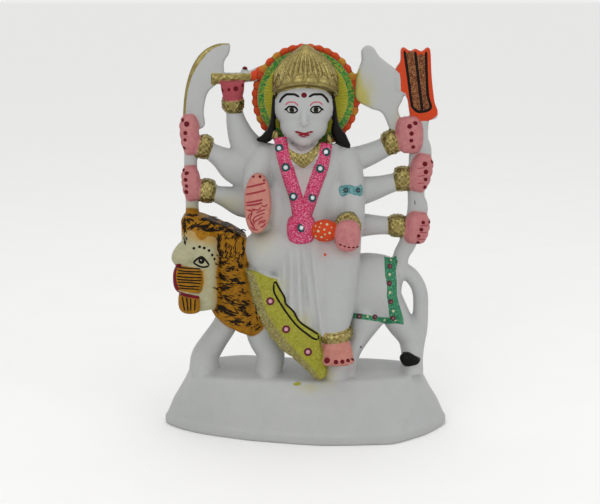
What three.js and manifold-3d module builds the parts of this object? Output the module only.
// A seated eight-armed goddess on her lion, cast in one piece with the plinth.
// Millimetres, +Z up, the viewer on the -Y side. The origin is the middle of the underside.

import * as THREE from 'three';
import { mergeVertices } from 'three/addons/utils/BufferGeometryUtils.js';
import Module from 'manifold-3d';

const wasm = await Module();
wasm.setup();

// Plinth
const PLINTH_WIDTH = 149;
const PLINTH_DEPTH = 52;
const PLINTH_HEIGHT = 31.5;
const RIM_HEIGHT = 6;
const RIM_ROUNDING = 1.2;
const BLOCK_WIDTH = 122;
const BLOCK_DEPTH = 40;
const BLOCK_WALL = 8;

// Figure
const FIGURE_HEIGHT = 168.5;
const HALO_WIDTH = 55.4;
const HALO_HEIGHT = 54.6;
const HALO_THICKNESS = 4.6;
const HALO_RIM_WIDTH = 4.4;
const HALO_RIM_RAISE = 0.9;
const HALO_SCALLOPS = 36;
const SCALLOP_HEIGHT = 0.9;
const SWORD_THICKNESS = 5.6;
const TRIDENT_THICKNESS = 6.4;
const MACE_THICKNESS = 8;
const SHAFT_DEPTH = 7;
const BANGLE_WIDTH = 5.6;
const BANGLE_RAISE = 1.5;
const FINGERS = 4;
const FIST_DEPTH = 5.4;
const KNUCKLE = 0.8;
const CROWN_FLUTES = 10;
const CROWN_FLUTE_DEPTH = 0.5;
const SKIRT_PLEATS = 5;
const PLEAT_DEPTH = 1.4;

// Glued stones
const STONE_DIAMETER = 2.6;
const SMALL_STONE_DIAMETER = 1.8;
const STONE_HEIGHT = 0.9;
const STONE_SIDES = 6;
const STONE_GAP = 0.3;

// The figure keeps its pose on a grid whose step is 1 mm at the height below
const GRID_HEIGHT = 168.5;
const GRID_FLOOR = 31.5;
const STEP = FIGURE_HEIGHT / GRID_HEIGHT;

const COLOURS = {
  casting: { color: 0xe9eae8, roughness: 0.32, metalness: 0 },
  clear: { color: 0xdfe8ec, roughness: 0.05, metalness: 0.2 },
  rose: { color: 0xd8a6b6, roughness: 0.08, metalness: 0.2 },
  dark: { color: 0x2b3338, roughness: 0.08, metalness: 0.2 },
  garnet: { color: 0x6d1f2b, roughness: 0.08, metalness: 0.2 },
};

const DEPTH_AXIS = new THREE.Vector3(0, 1, 0);
const UP_AXIS = new THREE.Vector3(0, 0, 1);

function place(x, y, z) {
  return new THREE.Vector3(x * STEP, y * STEP, PLINTH_HEIGHT + (z - GRID_FLOOR) * STEP);
}

// Turns a closed geometry into a solid that can be joined and cut
function solid(geometry) {
  const bare = geometry.clone();
  bare.deleteAttribute('normal');
  bare.deleteAttribute('uv');
  const merged = mergeVertices(bare, 1e-4);
  const corners = merged.index.array;
  const kept = [];
  for (let i = 0; i < corners.length; i += 3) {
    const [a, b, c] = [corners[i], corners[i + 1], corners[i + 2]];
    if (a !== b && b !== c && c !== a) {
      kept.push(a, b, c);
    }
  }
  return new wasm.Manifold(new wasm.Mesh({
    numProp: 3,
    vertProperties: Float32Array.from(merged.attributes.position.array),
    triVerts: Uint32Array.from(kept),
  }));
}

function geometryOf(body) {
  const mesh = body.getMesh();
  const geometry = new THREE.BufferGeometry();
  geometry.setAttribute('position', new THREE.BufferAttribute(mesh.vertProperties.slice(), 3));
  geometry.setIndex(new THREE.BufferAttribute(mesh.triVerts.slice(), 1));
  geometry.computeVertexNormals();
  return geometry;
}

function join(bodies) {
  let whole = bodies[0];
  for (const body of bodies.slice(1)) {
    whole = whole.add(body);
  }
  return whole;
}

// An egg or pad: a sphere with its own half sizes, turned about the depth axis
function ball(at, half, turn = 0, detail = 8) {
  const geometry = new THREE.SphereGeometry(1, detail, Math.ceil(detail * 0.6));
  geometry.rotateX(Math.PI / 2);
  geometry.scale(half[0] * STEP, half[1] * STEP, half[2] * STEP);
  geometry.rotateY(THREE.MathUtils.degToRad(turn));
  const centre = place(...at);
  geometry.translate(centre.x, centre.y, centre.z);
  return solid(geometry);
}

// A limb through stations [x, y, z, half width, half depth], with flutes round it if asked
function limb(stations, sides = 8, facing = DEPTH_AXIS, flutes = 0) {
  const path = new THREE.CatmullRomCurve3(stations.map(([x, y, z]) => place(x, y, z)));
  const girth = new THREE.CatmullRomCurve3(
    stations.map(([, , , width, depth]) => new THREE.Vector3(width, depth ?? width, 0)),
  );
  const geometry = new THREE.CylinderGeometry(1, 1, 1, sides, stations.length - 1);
  const points = geometry.attributes.position;
  for (let i = 0; i < points.count; i += 1) {
    const along = points.getY(i) + 0.5;
    const tangent = path.getTangent(along);
    const side = new THREE.Vector3().crossVectors(tangent, facing).normalize();
    const depth = new THREE.Vector3().crossVectors(side, tangent);
    const half = girth.getPoint(along);
    const edge = Math.round((Math.atan2(points.getX(i), points.getZ(i)) / Math.PI) * (sides / 2));
    const fold = Math.abs(edge) % 2 === 0 ? 0 : flutes;
    const moved = path.getPoint(along);
    moved.addScaledVector(side, points.getX(i) * half.x * STEP);
    moved.addScaledVector(depth, points.getZ(i) * (half.y - fold) * STEP);
    points.setXYZ(i, moved.x, moved.y, moved.z);
  }
  return solid(geometry);
}

// A flat carved piece: an outline seen from the front, with rounded edges
function slab(outline, frontY, thickness, edge, smooth = true) {
  const corners = outline.map(([x, z]) => {
    const point = place(x, 0, z);
    return new THREE.Vector2(point.x, point.z);
  });
  const shape = new THREE.Shape();
  if (smooth) {
    shape.moveTo(corners[0].x, corners[0].y);
    shape.splineThru([...corners.slice(1), corners[0]]);
  } else {
    shape.setFromPoints(corners);
  }
  return extruded(shape, frontY * STEP, thickness, edge, smooth ? 1 : 2);
}

function extruded(shape, frontY, thickness, edge, curveSegments) {
  const geometry = new THREE.ExtrudeGeometry(shape, {
    depth: thickness - 2 * edge,
    bevelEnabled: edge > 0,
    bevelThickness: edge,
    bevelSize: edge,
    bevelOffset: -edge,
    bevelSegments: 1,
    curveSegments,
  });
  geometry.rotateX(Math.PI / 2);
  geometry.translate(0, frontY + thickness - edge, 0);
  return solid(geometry);
}

// A raised band round a wrist or ankle, along the limb's own direction
function bangle(at, direction, radius, depthRadius = radius) {
  const half = BANGLE_WIDTH / 2;
  const outer = radius * STEP + BANGLE_RAISE;
  const inner = outer - BANGLE_RAISE * 0.6;
  const profile = [
    new THREE.Vector2(0, -half),
    new THREE.Vector2(inner, -half),
    new THREE.Vector2(outer, 0),
    new THREE.Vector2(inner, half),
    new THREE.Vector2(0, half),
  ];
  const geometry = new THREE.LatheGeometry(profile, 8);
  geometry.scale(1, 1, depthRadius / radius);
  const along = new THREE.Vector3(direction[0], 0, direction[1]).normalize();
  const side = new THREE.Vector3().crossVectors(along, DEPTH_AXIS);
  geometry.applyMatrix4(new THREE.Matrix4().makeBasis(side, along, DEPTH_AXIS));
  const centre = place(...at);
  geometry.translate(centre.x, centre.y, centre.z);
  return solid(geometry);
}

// Plinth: a boat-shaped base with a low rim, sloping up to the block that carries the lion

// Corners as shares of half the width and half the depth, from the left tip by the front
const BASE_OUTLINE = [
  [-1, 0.14], [-0.88, -0.26], [-0.72, -0.56], [-0.38, -0.94], [0.1, -1.22], [0.6, -1.14],
  [0.86, -0.56], [1.012, 0.1], [0.9, 0.62], [0.6, 0.96], [0, 1.12], [-0.6, 0.98], [-0.88, 0.62],
];
const BLOCK_OUTLINE = [
  [-1, 0.2], [-0.96, -0.5], [-0.8, -0.86], [-0.42, -1.02], [0.1, -1.12], [0.6, -1.04],
  [0.9, -0.72], [1.02, -0.1], [1.01, 0.62], [0.62, 1.02], [0, 1.14], [-0.62, 1.34], [-1, 0.86],
];

function outlineCurve(outline, width, depth) {
  const corners = outline.map(([x, y]) => new THREE.Vector3(x * width / 2, y * depth / 2, 0));
  return new THREE.CatmullRomCurve3(corners, true, 'catmullrom', 0.25);
}

function plinth() {
  const base = outlineCurve(BASE_OUTLINE, PLINTH_WIDTH, PLINTH_DEPTH);
  const block = outlineCurve(BLOCK_OUTLINE, BLOCK_WIDTH, BLOCK_DEPTH);
  const creaseHeight = PLINTH_HEIGHT - BLOCK_WALL;
  const slope = 0.34;
  const creaseShare = 0.8;
  // [share of the way from base to block, height, inset]
  const levels = [
    [0, 0, RIM_ROUNDING * 0.5],
    [0, RIM_ROUNDING * 0.6, 0],
    [0, RIM_HEIGHT - RIM_ROUNDING, 0],
    [0, RIM_HEIGHT, RIM_ROUNDING],
    [slope, (RIM_HEIGHT + creaseHeight) / 2, RIM_ROUNDING * 0.5],
    [creaseShare, creaseHeight, 0],
    [1, PLINTH_HEIGHT - RIM_ROUNDING, 0],
    [1, PLINTH_HEIGHT, RIM_ROUNDING],
  ];
  const sides = 25;
  const geometry = new THREE.CylinderGeometry(1, 1, 1, sides, levels.length - 1);
  const points = geometry.attributes.position;
  for (let i = 0; i < points.count; i += 1) {
    const level = Math.round((points.getY(i) + 0.5) * (levels.length - 1));
    const [share, height, inset] = levels[level];
    const middle = Math.hypot(points.getX(i), points.getZ(i)) < 0.5;
    const around = (Math.atan2(-points.getZ(i), points.getX(i)) / (2 * Math.PI) + 1.5) % 1;
    const edge = base.getPoint(around).lerp(block.getPoint(around), share);
    const keep = middle ? 0 : 1 - inset / edge.length();
    points.setXYZ(i, edge.x * keep, edge.y * keep, height);
  }
  return solid(geometry);
}

// Lion

function lionBody() {
  return [
    limb([[-34, 2, 79, 17, 11], [-12, 3, 75, 18, 12], [14, 3, 73, 18.5, 12],
      [33, 3, 74, 19.4, 12], [45, 3, 73, 17.4, 10], [49, 3, 73, 12, 7]], 9),
    limb([[43.6, 3, 68, 8, 10], [49, 3, 57, 7.6, 9], [55.8, 2, 46, 6.4, 8], [56.4, -1, 37, 5.8, 9],
      [56, -2, 30, 6.6, 11]], 7),
    limb([[33, 0, 62, 11, 9], [27.6, -3, 50, 6.8, 8], [23.4, -6, 40, 5, 7], [21.8, -8, 30, 6.2, 9]], 6),
    limb([[-38, 3, 66, 8.4, 9], [-41.4, 3, 55, 6.6, 8.5], [-48, 2, 45, 6.9, 8],
      [-52.4, -1, 37, 7.8, 9.5], [-52.4, -2, 30, 8.6, 11]], 6),
    limb([[-22, -1, 60, 11, 9], [-21.2, -2, 49, 8.8, 8.5], [-17.6, -5, 40, 7.6, 8],
      [-19.6, -7, 30, 7.6, 11]], 6),
  ];
}

function lionTail() {
  return [
    limb([[48, 4, 84.6, 4.6, 5], [55, 4, 81, 4.3, 4.5], [59.6, 4, 74, 4.1, 4.2], [60.9, 4, 65, 4.2, 4.2],
      [60.6, 3, 54, 4.3, 4.5], [59.2, 1, 43, 3.8, 4.5], [58.4, 0, 30, 3.6, 5]], 6),
    ball([54.6, -9, 38.6], [5.6, 3.4, 3.6], 20),
  ];
}

function lionHead() {
  const mane = [
    [-62.2, 113.2], [-54.4, 113.8], [-46, 110.8], [-38, 107.6], [-31, 102.8], [-29, 95], [-29.4, 85],
    [-25.5, 75], [-22, 64], [-20.5, 57], [-24.5, 52.6], [-31, 52], [-38, 55.2], [-46, 61.5],
    [-50, 69.4], [-57, 84], [-62.4, 96], [-62.8, 105],
  ];
  return [
    slab(mane, -10, 19, 4),
    limb([[-52.6, -6, 109, 6, 6], [-52.8, -9, 101, 9.6, 9.6], [-52.4, -10, 88, 9.8, 10.6],
      [-51.4, -9, 76, 8.8, 10], [-50.4, -7, 65, 5.4, 7]], 8),
    limb([[-53, -6, 98, 8, 8], [-59, -12, 96.4, 7.2, 6.6], [-61.2, -19, 94.6, 6, 4.6],
      [-61.4, -22, 92.6, 4, 3.4]], 8, UP_AXIS),
    limb([[-56, -5, 85.6, 9.6, 10], [-58.2, -15, 84.6, 8.6, 9.2], [-58.8, -21, 84.2, 7.8, 8.2],
      [-58.8, -22.8, 84.2, 5.4, 5.6]], 8, UP_AXIS),
    limb([[-54.4, -4, 73.4, 8, 8], [-58.4, -13, 71.2, 7.2, 7.2], [-58.8, -18.6, 71, 6.4, 6],
      [-58.8, -20, 71, 4.4, 4]], 8, UP_AXIS),
  ];
}

// Goddess

function torso() {
  return [
    limb([[-1, -1, 84, 22, 12], [-1, -2, 104, 19, 13], [-0.5, -2, 116, 16, 12], [0, -2, 130, 18, 12],
      [0, -1, 142, 21, 11], [0, 0, 150, 19, 8]], 10),
    limb([[-0.6, -2, 141, 9, 8], [-0.6, -3, 149, 6.8, 7], [-0.6, -3, 158, 6.4, 7]], 7),
  ];
}

function head() {
  return [
    ball([-0.4, -4, 169], [14.8, 12.4, 14], 0, 11),
    ball([-0.5, -5.5, 160.5], [12.2, 10.4, 10.4], 0, 9),
    ball([-0.6, -8.6, 153.4], [5.2, 6, 4]),
    limb([[-0.4, -14.4, 170.5, 1.2, 1.6], [-0.4, -16.4, 164.8, 1.6, 2], [-0.4, -16.8, 162, 2.4, 1.8]], 6),
    ball([-0.6, -15, 157.4], [3.6, 1.6, 1.5], 0, 6),
  ];
}

function hair() {
  return [
    limb([[-14.6, -3, 176, 2.2, 4], [-16.6, -3, 164, 2.8, 4], [-18.6, -3, 157, 3.2, 4],
      [-21.4, -3, 153.6, 2.6, 3], [-25, -3, 153.4, 0.9, 1.2]], 7),
    limb([[14.6, -3, 176, 2.2, 4], [15.6, -3, 164, 2.6, 4], [17, -3, 156.5, 3.2, 4],
      [19.6, -3, 151.4, 2.6, 3], [23.4, -3, 148.6, 0.9, 1.2]], 7),
    ball([-14.2, -5.6, 154.8], [2.4, 2.6, 3], 0, 6),
    ball([13, -5.6, 154.2], [2.4, 2.6, 3], 0, 6),
  ];
}

// The crown is a pointed dome with upright leaves, higher on the brow than at the ears
function crown() {
  const profile = [
    [0, 0], [15.6, 0], [16.6, 2], [16.3, 9], [13, 16], [7.6, 21.6], [2.6, 25.2], [0, 26.5],
  ];
  const geometry = new THREE.LatheGeometry(
    profile.map(([radius, height]) => new THREE.Vector2(radius, height)), CROWN_FLUTES * 2,
  );
  const points = geometry.attributes.position;
  for (let i = 0; i < points.count; i += 1) {
    const [x, height, z] = [points.getX(i), points.getY(i), points.getZ(i)];
    const radius = Math.hypot(x, z);
    const angle = Math.atan2(z, x);
    const leaf = Math.abs(Math.sin(angle * CROWN_FLUTES / 2)) * CROWN_FLUTE_DEPTH;
    const round = radius > 2 ? 1 + (leaf - CROWN_FLUTE_DEPTH / 2) / radius : 1;
    const front = Math.max(0, Math.sin(angle)) * Math.min(1, radius / 15);
    const lift = height < 9 ? front * 7 * (1 - height / 9) : 0;
    const lean = -2.4 - height * 0.02;
    const spot = place(0.3 + x * round, lean - z * round * 0.76, 173.5 + height + lift);
    points.setXYZ(i, spot.x, spot.y, spot.z);
  }
  return [solid(geometry)];
}

function halo() {
  const [across, up] = [HALO_WIDTH / 2, HALO_HEIGHT / 2];
  const centre = place(0.6, 6, 172.6);
  const scalloped = new THREE.Shape();
  const steps = HALO_SCALLOPS * 2;
  for (let i = 0; i < steps; i += 1) {
    const angle = (i / steps) * 2 * Math.PI;
    const lobe = Math.abs(Math.sin(angle * HALO_SCALLOPS / 2)) * SCALLOP_HEIGHT;
    const inset = SCALLOP_HEIGHT - lobe;
    const x = centre.x + (across - inset) * Math.cos(angle);
    const z = centre.z + (up - inset) * Math.sin(angle);
    if (i === 0) {
      scalloped.moveTo(x, z);
    } else {
      scalloped.lineTo(x, z);
    }
  }
  scalloped.closePath();
  const inside = new THREE.Path();
  const [innerAcross, innerUp] = [across - HALO_RIM_WIDTH, up - HALO_RIM_WIDTH];
  inside.absellipse(centre.x, centre.z, innerAcross, innerUp, 0, 2 * Math.PI, true);
  scalloped.holes.push(inside);
  const disc = new THREE.Shape();
  const overlap = 1;
  disc.absellipse(centre.x, centre.z, innerAcross + overlap, innerUp + overlap, 0, 2 * Math.PI, false);
  return [
    extruded(scalloped, centre.y - HALO_RIM_RAISE, HALO_THICKNESS + HALO_RIM_RAISE, 0, 12),
    extruded(disc, centre.y, HALO_THICKNESS, 0, 12),
  ];
}

function garland() {
  return [
    limb([[-12.4, -9.5, 154, 3, 3], [-11, -11.4, 146, 3.4, 3], [-7.6, -12.6, 134, 3.4, 3],
      [-4.2, -13.2, 124, 3.2, 3], [-2.4, -13.4, 113, 3.2, 3]], 6),
    limb([[11, -9.5, 151, 3, 3], [8.6, -11.4, 141, 3.4, 3], [5.4, -12.6, 132, 3.4, 3],
      [2.4, -13.2, 123, 3.2, 3], [-0.6, -13.4, 113, 3.2, 3]], 6),
    slab([[-8.4, 111], [-8.2, 105], [-6, 102.4], [-2, 101.6], [3, 102.6], [4.6, 106], [4.6, 111.6],
      [3, 114.6], [-6.4, 114.6]], -17, 8, 1.6),
    limb([[-10.5, -7.5, 150, 2.4, 2.6], [-5.6, -10.4, 143.6, 2.8, 2.6], [-1.2, -11.4, 141.6, 2.8, 2.6],
      [3.4, -10.4, 143.2, 2.8, 2.6], [8.4, -7.5, 149, 2.4, 2.6]], 6),
  ];
}

// Lap, hanging leg and the pleats between them
function skirt() {
  return [
    limb([[4, -1, 97, 13, 12], [-10, -5, 97, 13, 12], [-19, -7, 95.4, 12, 12], [-27.4, -6, 96.2, 8.8, 8],
      [-30.6, -6, 96, 3, 3]], 9),
    limb([[14.4, -2, 103, 15.4, 12], [15, -6, 94, 14, 12], [14.8, -8, 82, 13.2, 12],
      [14.8, -9, 70, 12, 11], [14.6, -11, 60, 9.6, 9.5], [15, -12, 54, 8, 8]], 9),
    limb([[-3, -4, 103, 10, 11], [-5, -7, 92, 12, 10.4], [-4.6, -8.4, 78, 11.4, 10],
      [-1, -9, 64, 8.6, 10], [3, -9, 54, 6, 9]], SKIRT_PLEATS * 4, DEPTH_AXIS, PLEAT_DEPTH),
  ];
}

// The sash is a cloth end that leans out from the knee to the plinth
function sash() {
  const outline = [
    [-30, 86], [-20, 86.5], [-12.4, 84], [-10.8, 74], [-4, 64], [6.6, 56.6], [9.2, 50],
    [9.8, 36], [7, 31], [1.6, 34], [-3.6, 39.6], [-9.6, 45], [-14.4, 51], [-18, 57], [-21, 63.6],
    [-24.4, 73], [-28.6, 80],
  ];
  const corners = outline.map(([x, z]) => new THREE.Vector2(x * STEP, place(0, 0, z).z));
  const shape = new THREE.Shape(corners);
  const edge = 1.4;
  const geometry = new THREE.ExtrudeGeometry(shape, {
    depth: 9, bevelEnabled: true, bevelThickness: edge, bevelSize: edge, bevelOffset: -edge, bevelSegments: 1,
  });
  geometry.rotateX(Math.PI / 2);
  const points = geometry.attributes.position;
  for (let i = 0; i < points.count; i += 1) {
    const lean = (points.getZ(i) - PLINTH_HEIGHT) / STEP * 0.16 - 14.4;
    points.setY(i, points.getY(i) + lean * STEP);
  }
  return [solid(geometry)];
}

function hangingFoot() {
  return [
    limb([[15.4, -10, 57, 7.6, 8], [16, -15, 50, 7.4, 6.6], [16.8, -20.5, 45.6, 7.9, 4.8],
      [17.2, -24.6, 43.2, 7.8, 3.8], [17.2, -26.6, 41.6, 5.4, 2.2]], 8),
    bangle([15.6, -12.6, 54.6], [0.1, 1], 7.4, 7.4),
    limb([[15.5, -12, 30, 8, 8], [16, -13, 50, 7, 7]], 8),
  ];
}

function palm() {
  return [
    limb([[-20, 0, 144, 8, 8], [-25.4, -3, 132, 7.4, 8], [-25, -6, 119, 6, 8], [-24, -8, 110, 5.4, 8]], 8),
    slab([[-30.2, 121], [-29.6, 129], [-27, 135], [-23.6, 137], [-20, 135.4], [-17.6, 130], [-16.8, 122],
      [-17.6, 114], [-20.4, 108.6], [-24.2, 106.8], [-27.6, 108.6], [-29.6, 114]], -18.6, 10, 1.8),
    ball([-20, -1, 109.4], [8.6, 9, 10], 0, 7),
  ];
}

function handWithBud() {
  return [
    limb([[20, 0, 142, 8.6, 8.4], [23, -1, 130, 7.8, 8.4], [23.6, -3, 118, 7.4, 8.4], [23, -5, 107, 7.4, 8]], 8),
    limb([[24, -5, 107, 7, 7], [21.8, -11.6, 108, 7, 7.2], [21.6, -12.8, 108.6, 8, 8.4],
      [21.6, -16.4, 108.6, 8, 8.4], [21.4, -17.6, 107.6, 6.4, 7.2], [21.4, -22, 107, 4.6, 5.2]], 8, UP_AXIS),
    ball([10, -16, 108.3], [6.6, 6, 5.6]),
  ];
}

// Six back arms: [stations], then the fist that closes round its shaft
function backArms() {
  return [
    limb([[-16, 3, 134, 11, 7], [-29.6, 4, 148.4, 8.2, 6.6], [-34.2, 3, 159, 5.8, 6],
      [-35.6, 2, 167, 4.4, 5.4], [-36.2, 1, 173, 4.6, 5]], 6),
    limb([[-14, 4, 132, 12, 7], [-34, 4, 137.4, 9.8, 6.6], [-43, 4, 142.6, 6, 6],
      [-49, 3, 146.4, 4.7, 5.4], [-54, 2, 150, 4.8, 5]], 6),
    limb([[-14, 4, 124, 11, 7], [-30, 4, 119.3, 8.8, 6.6], [-40, 4, 121.9, 6, 6],
      [-46.6, 3, 124.2, 4.5, 5.4], [-54, 2, 127.6, 4.8, 5]], 6),
    limb([[10, 3, 138, 11, 7], [23, 4, 140.8, 7.2, 6.6], [33, 4, 144, 6, 6], [41.6, 3, 148.2, 5.2, 5.4],
      [48, 2, 152, 5, 5]], 6),
    limb([[10, 4, 126, 12, 7], [24, 4, 125, 9, 6.6], [34, 4, 126.2, 6.8, 6], [46, 3, 129.8, 5, 5.4],
      [54, 2, 131.6, 5, 5]], 6),
    limb([[10, 4, 110, 11, 7], [25, 4, 107.4, 7.4, 6.6], [36, 4, 107.3, 5.4, 6], [45, 3, 107, 4.8, 5.4],
      [52, 2, 105.6, 5, 5]], 6),
  ];
}

function bangles() {
  return [
    bangle([-36.1, 1, 168.8], [0, 1], 4.8, 5.4),
    bangle([-51.6, 3, 147.6], [-1, 0.62], 5.2, 5.4),
    bangle([-49.8, 3, 125.2], [-1, 0.4], 5, 5.4),
    bangle([43.7, 3, 150], [1, 0.5], 5.2, 5.4),
    bangle([50.4, 3, 131], [1, 0.22], 5.3, 5.4),
    bangle([48.4, 3, 106], [1, 0.05], 5.3, 5.4),
  ];
}

// A fist closed round a shaft: four fingers stacked along it, each a swelling of the fist
function fist(at, half, turn) {
  const lean = Math.tan(THREE.MathUtils.degToRad(turn));
  const rows = FINGERS * 2;
  const stations = [];
  for (let i = 0; i <= rows; i += 1) {
    const up = (i / rows - 0.5) * 2;
    const knuckle = i % 2 === 1;
    const end = i === 0 || i === rows;
    const width = half[0] * (end ? 0.62 : 0.98 - up * up * 0.14);
    const depth = FIST_DEPTH * (end ? 0.5 : 0.86) + (knuckle ? KNUCKLE : 0);
    stations.push([at[0] + up * half[1] * lean, at[1], at[2] + up * half[1], width, depth]);
  }
  return limb(stations, 6);
}

function fists() {
  return [
    fist([-57.6, 0, 155.2], [5.4, 9.8], -6),
    fist([-57.6, 0, 130], [5.4, 9.6], -6),
    fist([53.2, 0, 153.3], [7.4, 10.4], -12),
    fist([59, 0, 134.2], [6.2, 8.8], 17),
    fist([58.2, 0, 105.6], [6.4, 8.2], 14),
    limb([[-36, 0, 171, 5, 5], [-36.2, -0.6, 176, 6.4, 5.6], [-36.4, -0.6, 181, 6.2, 5.4]], 9),
    limb([[-30.6, 4.4, 178, 2, 2.4], [-30.4, 4.6, 188.8, 2, 2.2]], 6),
  ];
}

// Weapons and the shafts that run from hand to hand

function sword() {
  const blade = [
    [-37.6, 200], [-44.4, 199.6], [-51.2, 196], [-56.6, 188.6], [-60, 178], [-61.6, 165], [-61.2, 158],
    [-51.4, 158], [-51.2, 166], [-49.2, 175], [-44.6, 179.6], [-41, 184], [-40.6, 190.6], [-38, 195],
  ];
  return [
    slab(blade, 1, SWORD_THICKNESS, 1),
    limb([[-46.8, 3, 182.6, 3.2, 3.4], [-36, 3, 182.8, 2.9, 3], [-24, 5, 183.6, 2.6, 2.6]], 6),
    limb([[-57.6, 3, 160, 3.6, 3.5], [-58.2, 3, 140, 3.5, 3.5], [-57.8, 3, 112, 3.5, 3.5]], 6),
  ];
}

function mace() {
  const outline = [
    [31.2, 199], [34.4, 198], [37, 194], [41, 190.6], [45.8, 186.6], [49.6, 178], [49.4, 172],
    [47.2, 166.6], [50, 159], [48, 152], [44, 155.4], [39.4, 165], [33.4, 167.4], [26.4, 171.8],
    [25.6, 178], [26.6, 185.8], [28.6, 191.4], [28.4, 196.4],
  ];
  return [slab(outline, 1, MACE_THICKNESS, 2)];
}

function trident() {
  const prongs = [
    [48.2, 196.8], [50, 198], [53, 196.2], [55.6, 197.4], [58.6, 196], [61.4, 198], [62.8, 196],
    [63.8, 183], [65.4, 171.6], [67, 167], [67, 163.6], [64.4, 162], [54.8, 161.8], [53, 166.6],
    [52, 172], [49.4, 175.4], [46, 178], [45.8, 187], [48, 191],
  ];
  return [
    slab(prongs, 0.4, TRIDENT_THICKNESS, 1, false),
    limb([[59.4, 3.5, 166, 4.2, SHAFT_DEPTH / 2], [58.6, 3.5, 154, 4.2, SHAFT_DEPTH / 2],
      [59, 3.5, 144.4, 6.2, SHAFT_DEPTH / 2], [57.2, 3.5, 124, 4.5, SHAFT_DEPTH / 2],
      [58.2, 3.5, 116, 5.6, SHAFT_DEPTH / 2], [53.6, 3.5, 98.5, 4.8, SHAFT_DEPTH / 2],
      [50, 3.5, 91, 4.4, SHAFT_DEPTH / 2], [49.6, 3.5, 82, 4.4, SHAFT_DEPTH / 2]], 6),
  ];
}

function bridges() {
  return [
    limb([[24, 8, 178, 7, 2.6], [31, 6, 178, 7, 3]], 6),
    limb([[-18, 8.4, 184.4, 3.4, 2.4], [-27, 6, 183.6, 2.6, 2.4]], 6),
  ];
}

const casting = join([
  plinth(),
  ...lionBody(),
  ...lionTail(),
  ...lionHead(),
  ...torso(),
  ...head(),
  ...hair(),
  ...crown(),
  ...halo(),
  ...garland(),
  ...skirt(),
  ...sash(),
  ...hangingFoot(),
  ...palm(),
  ...handWithBud(),
  ...backArms(),
  ...bangles(),
  ...fists(),
  ...sword(),
  ...mace(),
  ...trident(),
  ...bridges(),
]);

const figure = new THREE.Group();

function addMesh(name, geometry, colour) {
  const mesh = new THREE.Mesh(geometry, new THREE.MeshStandardMaterial(COLOURS[colour]));
  mesh.name = name;
  figure.add(mesh);
  return mesh;
}

const body = addMesh('durga_lion_and_plinth', geometryOf(casting), 'casting');
body.updateMatrixWorld(true);

// Stones: each is found on the surface straight ahead of the viewer and lies along it
const STONES = {
  garland_stone: {
    colour: 'clear',
    diameter: STONE_DIAMETER,
    spots: [[-12.6, 149.4], [-9.4, 140], [-5.6, 125.6], [10.2, 147.6], [7.8, 139.4], [3.8, 125], [-1.6, 110]],
  },
  sash_stone: {
    colour: 'rose',
    diameter: STONE_DIAMETER,
    spots: [[-17.4, 72.4], [-9.4, 58.4], [1.6, 47]],
  },
  armband_stone: {
    colour: 'dark',
    diameter: SMALL_STONE_DIAMETER,
    spots: [[20.6, 127.6], [27, 127.6]],
  },
  saddle_stone: {
    colour: 'garnet',
    diameter: SMALL_STONE_DIAMETER,
    spots: [[43.8, 87], [43.6, 79], [44.4, 69], [45.6, 60], [36, 61.4], [28.4, 61.6]],
  },
};

function stoneGeometry(diameter) {
  const radius = diameter / 2;
  const profile = [[0, 0], [radius, 0], [radius * 0.6, STONE_HEIGHT], [0, STONE_HEIGHT]];
  const lathe = new THREE.LatheGeometry(profile.map(([r, h]) => new THREE.Vector2(r, h)), STONE_SIDES);
  return geometryOf(solid(lathe));
}

const ray = new THREE.Raycaster();
for (const [name, { colour, diameter, spots }] of Object.entries(STONES)) {
  spots.forEach(([x, z], index) => {
    ray.set(place(x, -200, z), DEPTH_AXIS);
    const hit = ray.intersectObject(body)[0];
    const stone = addMesh(`${name}_${index + 1}`, stoneGeometry(diameter), colour);
    stone.position.copy(hit.point).addScaledVector(hit.face.normal, STONE_GAP);
    stone.quaternion.setFromUnitVectors(DEPTH_AXIS, hit.face.normal);
  });
}

export default figure;
